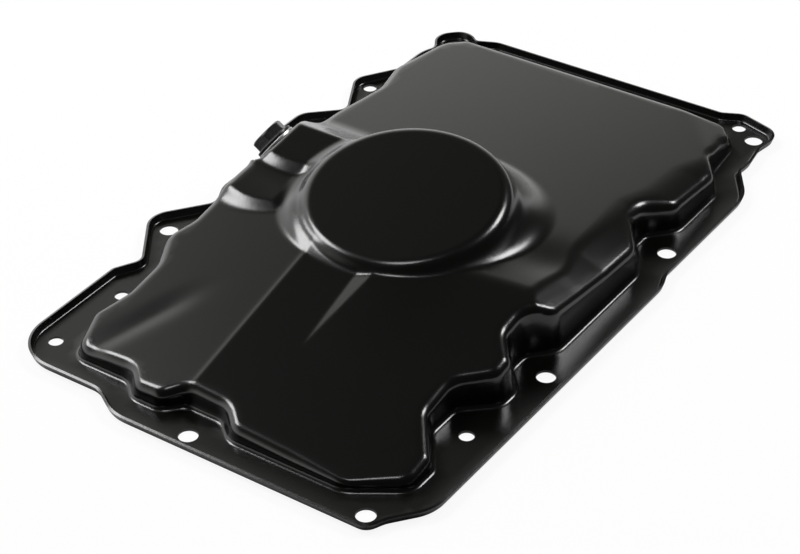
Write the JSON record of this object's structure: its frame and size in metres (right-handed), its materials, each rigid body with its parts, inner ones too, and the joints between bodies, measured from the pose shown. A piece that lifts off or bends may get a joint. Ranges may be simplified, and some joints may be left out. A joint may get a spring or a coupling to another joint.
{
  "type": "engine oil pan",
  "caption": "Pressed steel oil pan with a round sump, a drain plug and a bolt flange with a turned-up lip.",
  "frame": {"origin": "the middle of the pan's outline, on the gasket face", "axes": "+Z from the gasket face towards the sump's bottom, +Y along the pan's length towards its wider shallow end, +X across it away from the drain plug"},
  "size_m": [0.2322, 0.3651, 0.0472],
  "materials": {
    "black_paint": "satin",
    "plug_steel": "dark phosphate",
    "washer_metal": "dark satin"
  },
  "bodies": {
    "pan": {"pan_shell": "black_paint", "weld_nut": "black_paint"},
    "washer": {"drain_washer": "washer_metal"},
    "plug": {"drain_plug": "plug_steel"}
  },
  "joints": [
    {"name": "plug_travel", "type": "slide", "parent": "pan", "child": "washer", "axis": [-0.7956, -0.0696, 0.6018], "range_m": [0, 0.012]},
    {"name": "plug_turn", "type": "hinge", "parent": "washer", "child": "plug", "pos_m": [-0.083, 0.002, 0.027], "axis": [-0.7956, -0.0696, 0.6018], "range_deg": [0, 2880]}
  ],
  "couplings": [
    {"joint": "plug_turn", "follows": "plug_travel", "rad_per_m": 4188.8}
  ]
}
